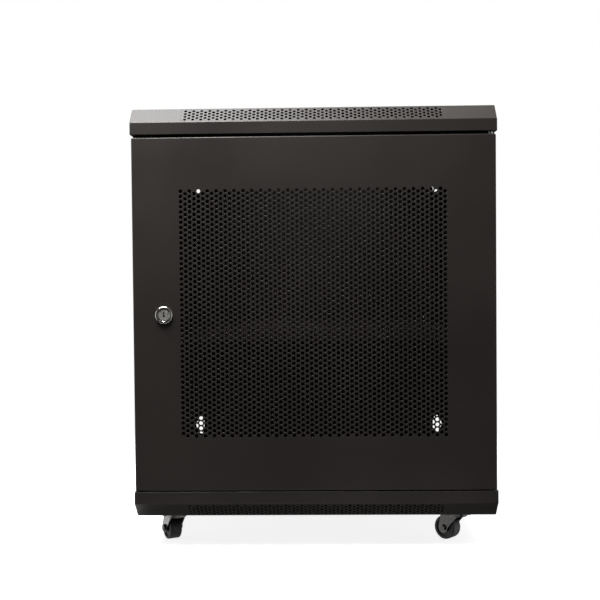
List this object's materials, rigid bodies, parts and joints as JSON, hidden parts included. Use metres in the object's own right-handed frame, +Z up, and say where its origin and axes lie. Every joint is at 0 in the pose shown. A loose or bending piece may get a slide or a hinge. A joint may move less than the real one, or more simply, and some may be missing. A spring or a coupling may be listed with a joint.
{
  "type": "network rack cabinet",
  "caption": "Floor-standing or wall-mounting network rack cabinet with a lockable perforated door, lift-off side panels and swivel casters.",
  "frame": {"origin": "on the floor, under the middle of the cabinet's outer box", "axes": "+X to the right seen from the front, +Y to the rear, +Z up"},
  "size_m": [0.6, 0.6062, 0.7305],
  "materials": {
    "black_powder_coat": "satin black powder coat with a fine texture",
    "zinc_plated_steel": "bright zinc-plated pressed steel",
    "black_zinc_plate": "black zinc-plated pressed steel, semi-gloss",
    "satin_nickel": "satin nickel plate",
    "chrome_plate": "polished chrome plate, lightly worn",
    "black_nylon": "satin moulded nylon",
    "black_rubber": "matte rubber",
    "black_oxide_screw": "blackened steel, slightly glossy"
  },
  "bodies": {
    "root": {"top_cover": "black_powder_coat", "base_pan": "black_powder_coat", "lid_vent_strip": "black_powder_coat", "base_vent_strip": "black_powder_coat", "top_cable_cover": "black_powder_coat", "base_cable_cover": "black_powder_coat", "rear_panel": "black_powder_coat", "shelf": "black_powder_coat", "door_bumpers": "black_rubber", "hinge_bushes": "black_nylon", "caster_plates": "black_zinc_plate", "caster_bolts": "black_zinc_plate", "frame_bolts": "zinc_plated_steel", "rail_bolts": "zinc_plated_steel", "cage_nuts": "zinc_plated_steel", "shelf_screws": "zinc_plated_steel", "panel_screws": "black_oxide_screw", "corner_post_front_left": "black_powder_coat", "corner_post_rear_left": "black_powder_coat", "rail_support_lower_left": "black_powder_coat", "rail_support_upper_left": "black_powder_coat", "rack_rail_front_left": "black_powder_coat", "rack_rail_rear_left": "black_powder_coat", "corner_post_front_right": "black_powder_coat", "corner_post_rear_right": "black_powder_coat", "rail_support_lower_right": "black_powder_coat", "rail_support_upper_right": "black_powder_coat", "rack_rail_front_right": "black_powder_coat", "rack_rail_rear_right": "black_powder_coat"},
    "door": {"door_panel": "black_powder_coat", "door_stiffeners": "black_powder_coat", "hinge_brackets": "black_powder_coat", "hinge_pin_lower": "zinc_plated_steel", "hinge_spring": "zinc_plated_steel", "lock_body": "chrome_plate", "lock_nut": "zinc_plated_steel"},
    "door_lock": {"lock_plug": "satin_nickel", "lock_cam": "zinc_plated_steel", "lock_cam_screw": "zinc_plated_steel"},
    "hinge_pin": {"hinge_pin_upper": "zinc_plated_steel"},
    "side_panel_left": {"side_panel_left": "black_powder_coat", "side_lock_body_left": "chrome_plate"},
    "side_lock_left": {"side_lock_plug_left": "satin_nickel", "side_lock_cam_left": "zinc_plated_steel"},
    "side_panel_right": {"side_panel_right": "black_powder_coat", "side_lock_body_right": "chrome_plate"},
    "side_lock_right": {"side_lock_plug_right": "satin_nickel", "side_lock_cam_right": "zinc_plated_steel"},
    "caster_swivel_front_left": {"caster_fork_front_left": "black_zinc_plate", "caster_axle_front_left": "black_zinc_plate"},
    "caster_roll_front_left": {"caster_wheel_front_left": "black_nylon"},
    "caster_swivel_front_right": {"caster_fork_front_right": "black_zinc_plate", "caster_axle_front_right": "black_zinc_plate"},
    "caster_roll_front_right": {"caster_wheel_front_right": "black_nylon"},
    "caster_swivel_rear_left": {"caster_fork_rear_left": "black_zinc_plate", "caster_axle_rear_left": "black_zinc_plate"},
    "caster_roll_rear_left": {"caster_wheel_rear_left": "black_nylon"},
    "caster_swivel_rear_right": {"caster_fork_rear_right": "black_zinc_plate", "caster_axle_rear_right": "black_zinc_plate"},
    "caster_roll_rear_right": {"caster_wheel_rear_right": "black_nylon"}
  },
  "joints": [
    {"name": "door_hinge", "type": "hinge", "parent": "root", "child": "door", "pos_m": [0.29, -0.2891, 0.38975], "axis": [0, 0, 1], "range_deg": [0, 180]},
    {"name": "door_lock_turn", "type": "hinge", "parent": "door", "child": "door_lock", "pos_m": [-0.247, -0.2991, 0.38975], "axis": [0, 1, 0], "range_deg": [0, 90]},
    {"name": "hinge_pin_pull", "type": "slide", "parent": "door", "child": "hinge_pin", "axis": [0, 0, 1], "range_m": [-0.0065, 0], "stiffness_N_per_m": 500, "springref_m": 0.004, "deforming": ["hinge_spring"]},
    {"name": "side_panel_tilt_left", "type": "hinge", "parent": "root", "child": "side_panel_left", "pos_m": [-0.299, 0, 0.098], "axis": [0, -1, 0], "range_deg": [0, 20]},
    {"name": "side_lock_turn_left", "type": "hinge", "parent": "side_panel_left", "child": "side_lock_left", "pos_m": [-0.29, 0, 0.66], "axis": [1, 0, 0], "range_deg": [0, 90]},
    {"name": "side_panel_tilt_right", "type": "hinge", "parent": "root", "child": "side_panel_right", "pos_m": [0.299, 0, 0.098], "axis": [0, 1, 0], "range_deg": [0, 20]},
    {"name": "side_lock_turn_right", "type": "hinge", "parent": "side_panel_right", "child": "side_lock_right", "pos_m": [0.29, 0, 0.66], "axis": [1, 0, 0], "range_deg": [0, 90]},
    {"name": "caster_swivel_turn_front_left", "type": "hinge", "parent": "root", "child": "caster_swivel_front_left", "pos_m": [-0.24, -0.2341, 0.046], "axis": [0, 0, 1], "continuous": true},
    {"name": "caster_wheel_spin_front_left", "type": "hinge", "parent": "caster_swivel_front_left", "child": "caster_roll_front_left", "pos_m": [-0.25, -0.21678, 0.02], "axis": [0.866, 0.5, 0], "continuous": true},
    {"name": "caster_swivel_turn_front_right", "type": "hinge", "parent": "root", "child": "caster_swivel_front_right", "pos_m": [0.24, -0.2341, 0.046], "axis": [0, 0, 1], "continuous": true},
    {"name": "caster_wheel_spin_front_right", "type": "hinge", "parent": "caster_swivel_front_right", "child": "caster_roll_front_right", "pos_m": [0.22468, -0.22124, 0.02], "axis": [0.6428, 0.766, 0], "continuous": true},
    {"name": "caster_swivel_turn_rear_left", "type": "hinge", "parent": "root", "child": "caster_swivel_rear_left", "pos_m": [-0.24, 0.2359, 0.046], "axis": [0, 0, 1], "continuous": true},
    {"name": "caster_wheel_spin_rear_left", "type": "hinge", "parent": "caster_swivel_rear_left", "child": "caster_roll_rear_left", "pos_m": [-0.24416, 0.25546, 0.02], "axis": [0.9781, 0.2079, 0], "continuous": true},
    {"name": "caster_swivel_turn_rear_right", "type": "hinge", "parent": "root", "child": "caster_swivel_rear_right", "pos_m": [0.24, 0.2359, 0.046], "axis": [0, 0, 1], "continuous": true},
    {"name": "caster_wheel_spin_rear_right", "type": "hinge", "parent": "caster_swivel_rear_right", "child": "caster_roll_rear_right", "pos_m": [0.24845, 0.25403, 0.02], "axis": [0.9063, -0.4226, 0], "continuous": true}
  ]
}
